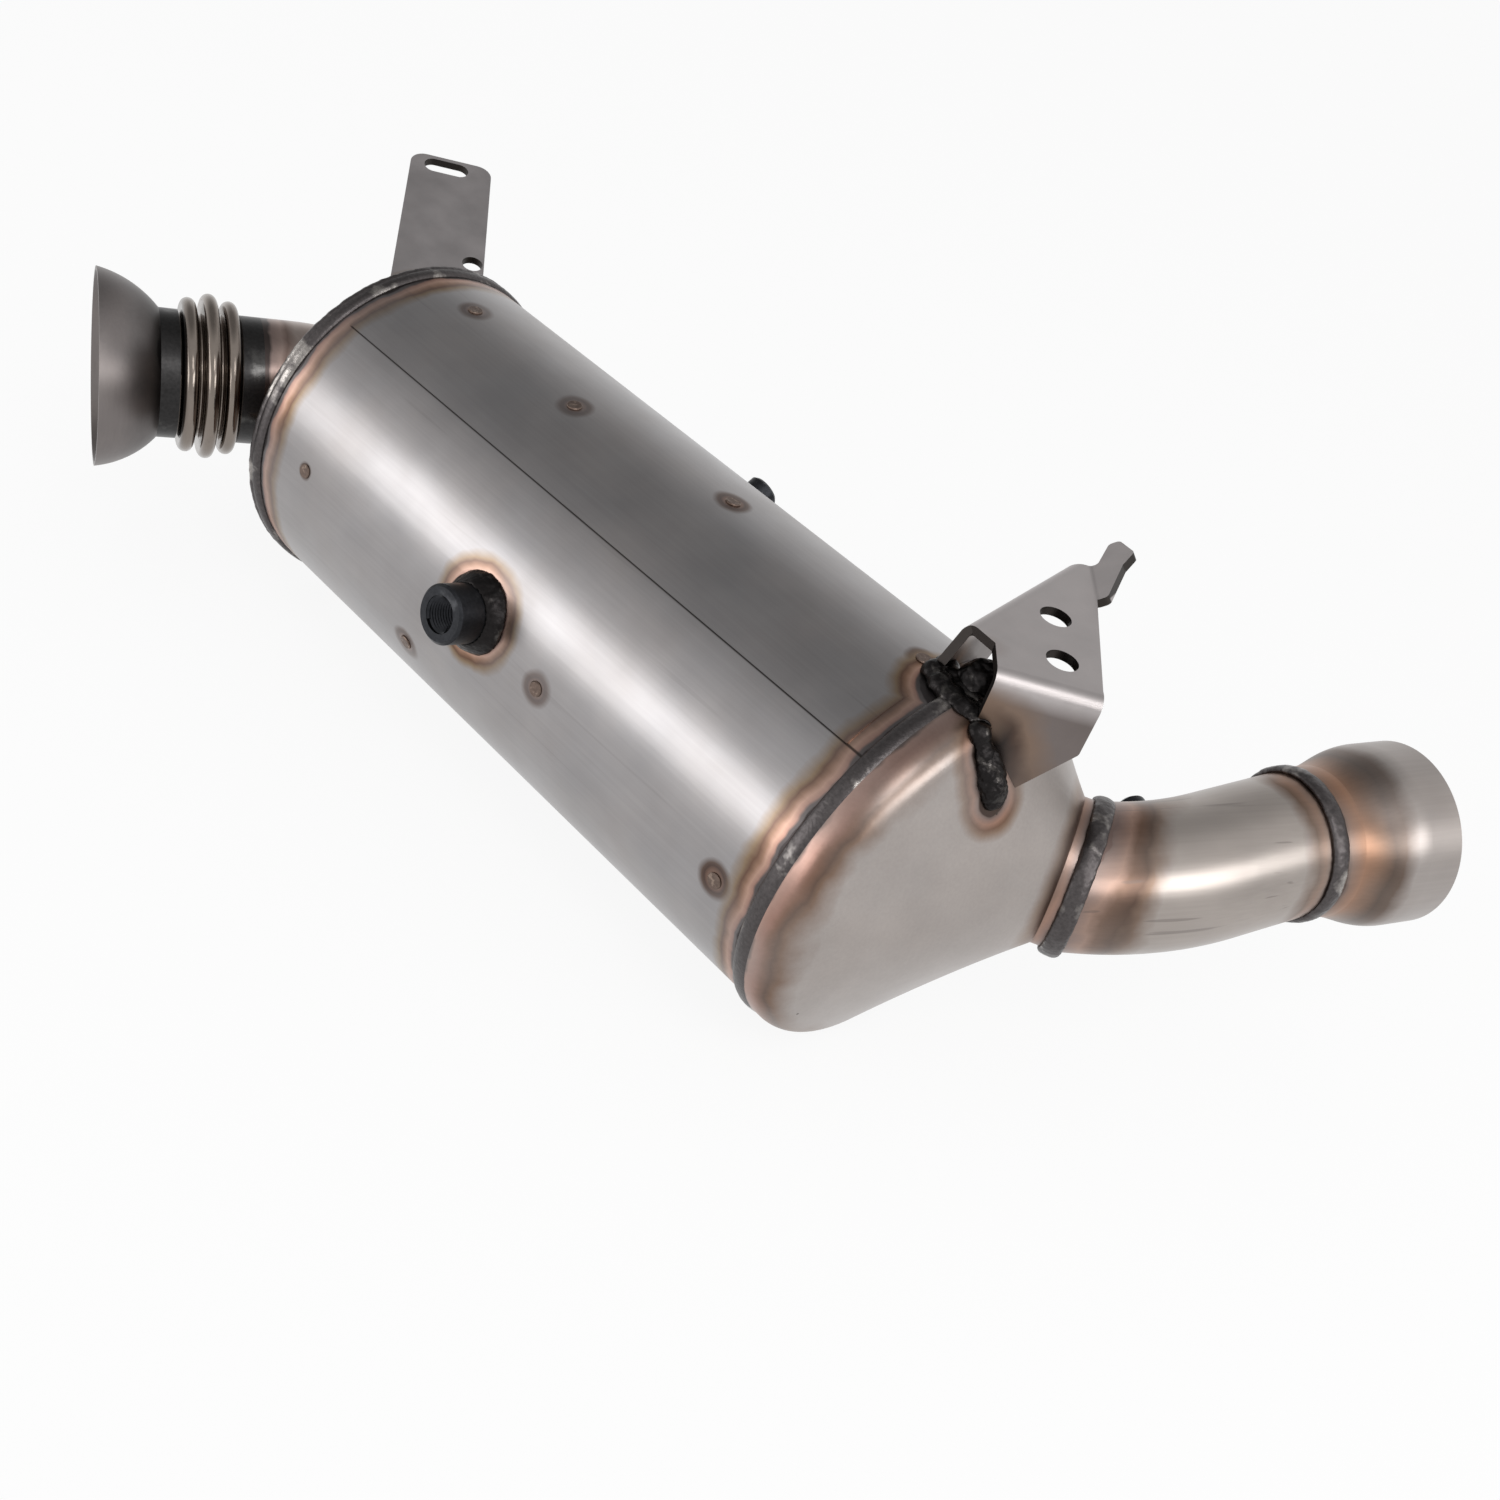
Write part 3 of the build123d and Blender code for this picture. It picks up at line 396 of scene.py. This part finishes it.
# Tube: pale and glossier than the sheet, with scratches. Swaging has left the flare duller.
paint("outlet_pipe", satin_steel("satin_pipe_steel", "#A69F9A", 0.3, (0.5, 0.86, 0.13),
                                 pipe_tints, scratched=0.35))
paint("outlet_flare", satin_steel("satin_flare_steel", "#A59F9C", 0.34, flare_axis, flare_tints))


# Inlet elbow, end cap and joint cup
# The elbow is bent stainless tube and the cap a pressing, welded to it and to the shell's rim.
# The cup is spun from sheet and dull grey from its heat treatment.
INLET_TILT = 64
inlet_axis = leaning(INLET_TILT, 0)
ELBOW_TINTS = ((0, "#4A4240"), (1.5, "#8C7A74"), (6, "#A08C84"), (9, "#7E6A62"), (14, None))
# Painted shade on the cup's neck, darkening towards the front collar, by distance from it in mm
CUP_TINTS = ((0, "#3A3837"), (3, "#454241"), (7, "#595554"), (12, "#6C6867"), (18, None))


def elbow_tints(tree, place, shade):
    """Tint of the rear collar and of the weld in the cap."""
    return tinted(tree, place, shade, [
        gap_to_plane(tree, place, centre("rear_collar"), inlet_axis, 7),
        gap_to_point(tree, place, centre("elbow_weld"), 34)], ELBOW_TINTS)


def cap_tints(tree, place, shade):
    """Tint round the elbow's weld and in from the rim, where the cap is welded to the shell."""
    away = gap_to_line(tree, place, axis_y, axis_z)
    from_rim = add(tree, "ShaderNodeMath", {0: shell_radius - 3 * MM, 1: away},
                   operation="SUBTRACT").outputs[0]
    return tinted(tree, place, shade,
                  [gap_to_point(tree, place, centre("elbow_weld"), 33), from_rim])


def cup_tints(tree, place, shade):
    """Painted shade on the cup's neck, darkest beside the front collar."""
    return tinted(tree, place, shade,
                  [gap_to_plane(tree, place, centre("front_collar"), inlet_axis, 4)], CUP_TINTS)


# The tube is warm and glossy, the pressing darker and duller, and the spun cup plain grey
paint("inlet_elbow", satin_steel("satin_elbow_steel", "#AA9C96", 0.28, (1, 0.3, 0), elbow_tints))
paint("inlet_end_cap", satin_steel("pressed_cap_steel", "#8F8886", 0.36, (0, 0, 1), cap_tints))
paint("inlet_flare", satin_steel("spun_cup_steel", "#6D6A6B", 0.38, (0, 0, 1), cup_tints))


# Flexible bellows with its liner and collars
# Three crests rolled into thin bright sheet, over a plain sleeve. The cuffs at both ends are
# welded with the pipe inside them, and the torch has burnt them black.
BELLOWS_TINTS = ((0, "#4A4441"), (3, "#5E5650"), (5, "#807770"), (6, None))


def bellows_tints(tree, place, shade):
    """Brown edges beside both collars."""
    return tinted(tree, place, shade,
                  [gap_to_plane(tree, place, centre(collar), inlet_axis, 3)
                   for collar in ("front_collar", "rear_collar")], BELLOWS_TINTS, 0.5)


# Burnt scale: the sizes of its grain and of its bumps, in mm, and where it has come off
SCALE_GRAIN = 1.5
SCALE_BUMPS = 1.8
RUBBED_OFF = (0.56, 0.66)


def burnt_steel(name, color, bright, roughness, patch, depth):
    """Scaled metal, dark and rough, with patches of about patch mm where the scale has come off."""
    material, tree, shader, place = new_material(name)
    rubbed = uneven(tree, place, patch, 0, 1, 4, RUBBED_OFF)
    shade = add(tree, "ShaderNodeMix", {0: rubbed, 6: color, 7: bright},
                data_type="RGBA").outputs[2]
    gloss = add(tree, "ShaderNodeMapRange", {0: rubbed, 3: roughness, 4: roughness - 0.15})
    fill(tree, shader, {
        "Base Color": mottled(tree, place, shade, SCALE_GRAIN, 0.8, 1.15),
        "Roughness": gloss.outputs[0],
        "Normal": relief(tree, place, SCALE_BUMPS, 5, 0.5, depth),
        "Metallic": 1})
    return material


paint("flex_bellows", satin_steel("bright_bellows_steel", "#7B736C", 0.18, (0, 0, 1),
                                  bellows_tints))
paint("bellows_liner", satin_steel("plain_liner_steel", "#98928C", 0.3, inlet_axis,
                                   bellows_tints))
burnt_collar = burnt_steel("burnt_collar_steel", "#353434", "#4A4948", 0.36, 16, 0.08)
for collar in ("front_collar", "rear_collar"):
    paint(collar, burnt_collar)


# Brackets
# Both are cut by laser from 4 mm pickled stainless plate, which leaves dark edges, and the rear
# one is folded. They are welded to the canister and the cone, and sooty at those welds.
PLATE = 4 * MM
PICKLED_CLOUDS = 22
PICKLED_GRAIN = 0.9
plate_top = frame["record"]["mounts"][2]["pos_m"][2]

# Each flat of a plate: the way it faces, and how far out that way its middle lies, in metres
BRACKET_FLATS = (((0, 0, 1), plate_top - PLATE / 2), ((0.6613, -0.7501, 0), 0.22729),
                 ((-0.9756, -0.1084, 0.1908), -0.41793),
                 ((-0.4822, -0.4251, 0.766), -0.21296))
STRAP_FLATS = (((0.2, -0.1643, 0.9659), 0.06051),)
SOOT_TINTS = ((0, "#1B1817"), (9, "#241F1D"), (13, "#4A3A31"), (19, "#7E6A5C"), (30, None))


def plate_steel(name, color, roughness, flats, lay_tints):
    """Pickled plate with dark cut edges: the faces that are on none of the plate's flats."""
    material, tree, shader, place = new_material(name)
    normal = add(tree, "ShaderNodeTexCoord").outputs["Normal"]
    on_flats = []
    for flat, distance in flats:
        turned = add(tree, "ShaderNodeVectorMath", {0: normal, 1: flat}, operation="DOT_PRODUCT")
        size = add(tree, "ShaderNodeMath", {0: turned.outputs["Value"]}, operation="ABSOLUTE")
        faces_it = add(tree, "ShaderNodeMapRange", {0: size.outputs[0], 1: 0.5, 2: 0.6})
        away = gap_to_plane(tree, place, Vector(flat) * distance, flat)
        near_it = add(tree, "ShaderNodeMapRange",
                      {0: away, 1: PLATE - 0.5 * MM, 2: PLATE, 3: 1, 4: 0})
        on_flats.append(add(tree, "ShaderNodeMath",
                            {0: faces_it.outputs[0], 1: near_it.outputs[0]},
                            operation="MULTIPLY").outputs[0])
    shade = mottled(tree, place, lay_tints(tree, place, color), PICKLED_CLOUDS, 0.9, 1.07, 5)
    shade = add(tree, "ShaderNodeMix",
                {0: chosen(tree, on_flats, "MAXIMUM"), 6: "#3B3735", 7: shade},
                data_type="RGBA").outputs[2]
    fill(tree, shader, {
        "Base Color": shade,
        "Roughness": uneven(tree, place, PICKLED_CLOUDS, roughness - 0.05, roughness + 0.07, 5),
        "Normal": relief(tree, place, PICKLED_GRAIN, 3, 0.12, 0.1),
        "Metallic": 1})
    return material


def bracket_tints(tree, place, shade):
    """The legs are darker than the top plate, as painted shade from light falling from above. They
    are sooty at their feet.
    """
    height = add(tree, "ShaderNodeSeparateXYZ", {0: place}).outputs["Z"]
    # Painted shade: below the top plate the legs are darkened, as the light falls from above
    legs = add(tree, "ShaderNodeMapRange",
               {0: height, 1: plate_top - 12 * MM, 2: plate_top - 5 * MM, 3: 1, 4: 0})
    shade = add(tree, "ShaderNodeMix", {0: legs.outputs[0], 6: shade, 7: "#A8A29F"},
                data_type="RGBA", blend_type="MULTIPLY").outputs[2]
    foot_gaps = foot_weld_gaps(tree, place, (-0.35, 0, 0.35), 0, -1)
    shade = tinted(tree, place, shade, foot_gaps, SOOT_TINTS, 3)
    side_gap = gap_to_point(tree, place, centre("bracket_upper_weld"), 9, 1.9)
    return tinted(tree, place, shade, [side_gap], SOOT_TINTS, 3)


def strap_tints(tree, place, shade):
    """A narrow tint at the strap's foot."""
    return tinted(tree, place, shade,
                  [gap_to_point(tree, place, centre("strap_weld"), 20, 1.5)])


paint("rear_bracket", plate_steel("pickled_bracket_plate", "#B2ACAB", 0.4, BRACKET_FLATS,
                                  bracket_tints))
paint("inlet_strap", plate_steel("pickled_strap_plate", "#ABA6A6", 0.45, STRAP_FLATS,
                                 strap_tints))


# Sensor bosses
# Turned from black bar and welded on. The large one is open to view, so its thread is cut here,
# M18 by 1.5. The real one is as dark inside as out.
THREAD_PITCH = 1.5 * MM
THREAD_DEPTH = 0.95 * MM
THREAD_TURNS = 11
THREAD_STEPS = 36
LEAD_IN = 1.6 * THREAD_PITCH
ROOT_SINK = 0.05 * MM
port = frame["record"]["mounts"][5]
port_axis = Vector(port["axis"]).normalized()
port_mouth = Vector(port["pos_m"]) + port_axis * port["dims"]["length_mm"] / 2 * MM
bore_radius = port["dims"]["r_mm"] * MM


def made_object(name, shape, material, smooth=True):
    """Makes a bmesh an object in the scene, with one material."""
    for face in shape.faces:
        face.smooth = smooth
    mesh = bpy.data.meshes.new(name)
    shape.to_mesh(mesh)
    mesh.materials.append(material)
    made = bpy.data.objects.new(name, mesh)
    bpy.context.scene.collection.objects.link(made)
    return made


boss_steel = burnt_steel("black_boss_steel", "#333437", "#56575A", 0.4, 16, 0.06)
for boss in ("front_sensor_boss", "rear_sensor_boss", "pipe_boss"):
    paint(boss, boss_steel)

# The thread's triangle, with its root a little inside the bore's wall, is wound towards the mouth
side = port_axis.orthogonal().normalized()
start = port_mouth - port_axis * (THREAD_TURNS * THREAD_PITCH + LEAD_IN)
root, crest = bore_radius + ROOT_SINK, bore_radius - THREAD_DEPTH
shape = bmesh.new()
corners = [shape.verts.new(start + side * radius + port_axis * THREAD_PITCH * along)
           for radius, along in ((root, 0), (crest, 0.5), (root, 1))]
profile = [shape.edges.new((corners[i], corners[(i + 1) % 3])) for i in range(3)]
bmesh.ops.spin(shape, geom=corners + profile, cent=port_mouth, axis=port_axis,
               dvec=port_axis * THREAD_PITCH / THREAD_STEPS, angle=2 * pi * THREAD_TURNS,
               steps=THREAD_STEPS * THREAD_TURNS, use_merge=False)
bmesh.ops.holes_fill(shape, edges=[edge for edge in shape.edges if edge.is_boundary], sides=3)
bmesh.ops.recalc_face_normals(shape, faces=shape.faces)
thread_steel = burnt_steel("cut_thread_steel", "#2E2F32", "#343538", 0.25, 30, 0.01)
thread = made_object("boss_thread", shape, thread_steel, smooth=False)
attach(thread, "root")


# Weld beads
# Laid in one pass each: dark grey with fine ripples, brushed bright in patches. Those of the
# brackets and bosses are black and lumpy, and the spot welds on the shell are flat and brown.
def rippled(weld, voxel, size, depth):
    """Gives a smooth weld the uneven surface of real weld metal. All sizes are in mm."""
    weld.modifiers.new("joined", "WELD").merge_threshold = 0.001 * MM
    remesh = weld.modifiers.new("evened", "REMESH")
    remesh.mode = "VOXEL"
    remesh.voxel_size = voxel * MM
    remesh.use_smooth_shade = True
    cloud = bpy.data.textures.new(weld.name + "_ripple", "CLOUDS")
    cloud.noise_scale = size * MM
    cloud.noise_depth = 2
    displace = weld.modifiers.new("ripples", "DISPLACE")
    displace.texture = cloud
    displace.texture_coords = "LOCAL"
    displace.mid_level = 0.5
    displace.strength = depth * MM


bead_metal = burnt_steel("brushed_bead_metal", "#534F4F", "#9C9793", 0.38, 18, 0.4)
lump_metal = burnt_steel("burnt_weld_metal", "#262424", "#4A4745", 0.36, 7, 0.3)
paint("inlet_end_weld", bead_metal)
rippled(frame["nodes"]["inlet_end_weld"], voxel=0.8, size=4, depth=0.6)
for weld in ("bracket_upper_weld", "bracket_lower_weld", "front_boss_weld", "strap_weld"):
    paint(weld, lump_metal)
    rippled(frame["nodes"][weld], voxel=0.5, size=4, depth=0.7)

# The bracket's side leg is welded from below too. That heap is made big and black, partly weld and
# partly painted shade, standing for the shade under the leg's arch. The foot of the hanging leg is
# welded twice over. Half sizes of both heaps are in mm, along the leg, out of it and along the
# weld's run.
HEAP_SHIFT = Vector((2.5, 10, 1)) * MM
HEAP_HALVES = (12, 10, 11.5)
FOOT_SHIFT = FOOT_WELD_RUN * 0.15 + ALONG_LEG * 1.5 * MM
FOOT_HALVES = (6.6, 5.6, 14)


def lump(name, middle, halves, run):
    """A heap of weld metal round middle."""
    run = run.normalized()
    along = (ALONG_LEG - ALONG_LEG.dot(run) * run).normalized()
    turn = Matrix((along, run.cross(along), run)).transposed()
    shape = bmesh.new()
    bmesh.ops.create_icosphere(shape, subdivisions=4, radius=1)
    bmesh.ops.scale(shape, verts=shape.verts, vec=Vector(halves) * MM)
    bmesh.ops.rotate(shape, verts=shape.verts, matrix=turn)
    bmesh.ops.translate(shape, verts=shape.verts, vec=middle)
    return made_object(name, shape, lump_metal)


# Partly painted shade: this heap's black metal also fills the shade under the side leg's arch
heap = lump("bracket_heap_weld_and_shade", centre("bracket_upper_weld") + HEAP_SHIFT, HEAP_HALVES,
            Vector((0, 0, 1)))
rippled(heap, voxel=0.6, size=8, depth=4)
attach(heap, "root")
foot = lump("bracket_foot_weld", centre("bracket_lower_weld") + FOOT_SHIFT, FOOT_HALVES,
            FOOT_WELD_RUN)
rippled(foot, voxel=0.5, size=5, depth=3)
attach(foot, "root")


def flat_bead(name, middle, axis, outer, reach, height):
    """A flat run of weld round an axis. It has an oval section, with half sizes in mm, whose
    outside is at the radius outer, in metres."""
    side = axis.orthogonal().normalized()
    section = Matrix((axis * reach * MM, side * height * MM, axis.cross(side))).transposed()
    section = section.to_4x4()
    section.translation = middle + side * (outer - height * MM)
    shape = bmesh.new()
    bmesh.ops.create_circle(shape, segments=16, radius=1, matrix=section)
    bmesh.ops.spin(shape, geom=shape.verts[:] + shape.edges[:], cent=middle, axis=axis,
                   angle=2 * pi, steps=360, use_merge=True)
    bmesh.ops.recalc_face_normals(shape, faces=shape.faces)
    return made_object(name, shape, bead_metal)


# The cone's two beads and the flare's are wide and flat. The first covers the skirt's cut edge.
bead = flat_bead("outlet_end_bead", centre("outlet_end_weld") + long_way * 1.4 * MM, long_way,
                 shell_radius + 2.8 * MM, reach=4.4, height=2)
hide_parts("outlet_end_weld")
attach(bead, "root")
for name, node, axis, reach in (("neck_bead", "neck_weld", neck_axis, 4.6),
                                ("flare_bead", "flare_weld", flare_axis, 4.4)):
    low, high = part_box(node)
    bead = flat_bead(name, centre(node), axis, (high[2] - low[2]) / 2, reach, height=2)
    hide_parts(node)
    rippled(bead, voxel=0.8, size=4, depth=0.6)
    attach(bead, "root")

# The bead at the inlet end runs on over the shell
bead = flat_bead("inlet_end_bead", centre("inlet_end_weld") + long_way * 3 * MM, long_way,
                 shell_radius + 1.9 * MM, reach=3.4, height=1.9)
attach(bead, "root")
for weld in ("elbow_weld", "rear_boss_weld", "pipe_boss_weld"):
    paint(weld, lump_metal)
paint("plug_welds", burnt_steel("brown_plug_metal", "#6E5F57", "#8C7B70", 0.42, 3, 0.3))


# Bricks, mats and rings inside the canister
# The bricks are extruded from porous ceramic and wrapped in fibre mats, and pressed steel rings
# hold them. They are seen only down the pipes: pale and quite matt.
def matt_fill(name, color, size):
    """Matt ceramic or fibre with a grain of about size mm."""
    material, tree, shader, place = new_material(name)
    fill(tree, shader, {
        "Base Color": mottled(tree, place, color, size, 0.85, 1.05, 4),
        "Roughness": 0.85,
        "Normal": relief(tree, place, size, 4, 0.4, 0.3)})
    return material


brick_ceramic = matt_fill("porous_brick_ceramic", "#BDB5A6", 1.5)
fibre_mat = matt_fill("pale_fibre_mat", "#DAD8D0", 3)
for brick in ("catalyst", "filter"):
    paint(brick + "_monolith", brick_ceramic)
    paint(brick + "_mat", fibre_mat)
ring_steel = satin_steel("plain_ring_steel", "#98928C", 0.35, long_way, bellows_tints)
for number in range(1, 5):
    paint("retaining_ring_%d" % number, ring_steel)


# Floor, light and camera
# A white paper sweep under a low softbox at the left, a small one high up and one at the right,
# in a pale room that is darker behind the object.
FLOOR_GLOW = 0.9
SWEEP_HALF = 30
shape = bmesh.new()
bmesh.ops.create_grid(shape, x_segments=1, y_segments=1, size=SWEEP_HALF)
bmesh.ops.translate(shape, verts=shape.verts, vec=(0, 0, cad_box[0][2]))
white_paper, tree, shader, place = new_material("white_paper_sweep")
fill(tree, shader, {"Base Color": "#D8D8D8", "Roughness": 0.9})
glow = add(tree, "ShaderNodeEmission", {"Color": "#FFFFFF", "Strength": 1})
ray = add(tree, "ShaderNodeLightPath")
seen = add(tree, "ShaderNodeMath",
           {0: ray.outputs["Is Camera Ray"], 1: ray.outputs["Is Glossy Ray"]},
           operation="MAXIMUM")
share = add(tree, "ShaderNodeMath", {0: seen.outputs[0], 1: FLOOR_GLOW}, operation="MULTIPLY")
blend = add(tree, "ShaderNodeMixShader",
            {0: share.outputs[0], 1: shader.outputs[0], 2: glow.outputs[0]})
fill(tree, tree.nodes["Material Output"], {"Surface": blend.outputs[0]})
floor = made_object("floor", shape, white_paper, smooth=False)

# How bright the room is on plain surfaces and where metal mirrors it, in its pale and dark parts.
# The dark part's edge and core are cosines of the angle from the way to its middle.
ROOM_ON_PLAIN = 0.8
ROOM_PALE = 0.85
ROOM_DARK = 0.33
DARK_EDGE = 0.66
DARK_CORE = 0.94
DARK_WAY = Vector((-0.55, 0.2, 0.81)).normalized()
world = bpy.data.worlds.new("studio")
world.use_nodes = True
tree = world.node_tree
ray = add(tree, "ShaderNodeLightPath")
sky = add(tree, "ShaderNodeTexCoord").outputs["Generated"]
towards = add(tree, "ShaderNodeVectorMath", {0: sky, 1: DARK_WAY}, operation="DOT_PRODUCT")
room = add(tree, "ShaderNodeMapRange",
           {0: towards.outputs["Value"], 1: DARK_EDGE, 2: DARK_CORE, 3: ROOM_PALE, 4: ROOM_DARK})
level = add(tree, "ShaderNodeMix",
            {0: ray.outputs["Is Glossy Ray"], 2: ROOM_ON_PLAIN, 3: room.outputs[0]})
level = add(tree, "ShaderNodeMix", {0: ray.outputs["Is Camera Ray"], 2: level.outputs[0], 3: 1})
fill(tree, tree.nodes["Background"], {"Color": "#FFFFFF", "Strength": level.outputs[0]})
bpy.context.scene.world = world

# Each softbox: its name, the way to it from the object's middle, how far off it is, its width and
# height, all in metres, and its power in watts
SOFTBOXES = (("left_softbox", (-0.45, -0.86, 0.2), 1.15, 1.0, 0.4, 3.7),
             ("top_softbox", (0.52, -0.3, 0.8), 1.2, 0.4, 0.4, 2.6),
             ("right_softbox", (0.88, 0.0, 0.47), 1.2, 0.9, 0.34, 3.4))
middle = Vector(((cad_box[0][0] + cad_box[1][0]) / 2, axis_y, axis_z))
for name, way, distance, width, height, power in SOFTBOXES:
    lamp = bpy.data.lights.new(name, "AREA")
    lamp.shape = "RECTANGLE"
    lamp.size = width
    lamp.size_y = height
    lamp.energy = power
    softbox = bpy.data.objects.new(name, lamp)
    bpy.context.scene.collection.objects.link(softbox)
    way = Vector(way).normalized()
    softbox.location = middle + way * distance
    softbox.rotation_euler = (-way).to_track_quat("-Z", "Y").to_euler()

CAMERA_PLACE = (0.6791, -0.3707, 0.4299)
CAMERA_RIGHT = (0.6766, 0.6842, 0.2722)
CAMERA_DOWN = (0.5947, -0.2898, -0.7499)
LENS = 39.07
SENSOR = 36
right = Vector(CAMERA_RIGHT).normalized()
up = -Vector(CAMERA_DOWN).normalized()
lens = bpy.data.cameras.new("camera")
lens.lens = LENS
lens.sensor_width = SENSOR
lens.clip_end = 100
camera = bpy.data.objects.new("camera", lens)
bpy.context.scene.collection.objects.link(camera)
turn = Matrix((right, up, right.cross(up))).transposed().to_4x4()
camera.matrix_world = Matrix.Translation(CAMERA_PLACE) @ turn
bpy.context.scene.camera = camera
bpy.context.scene.view_settings.view_transform = "Standard"
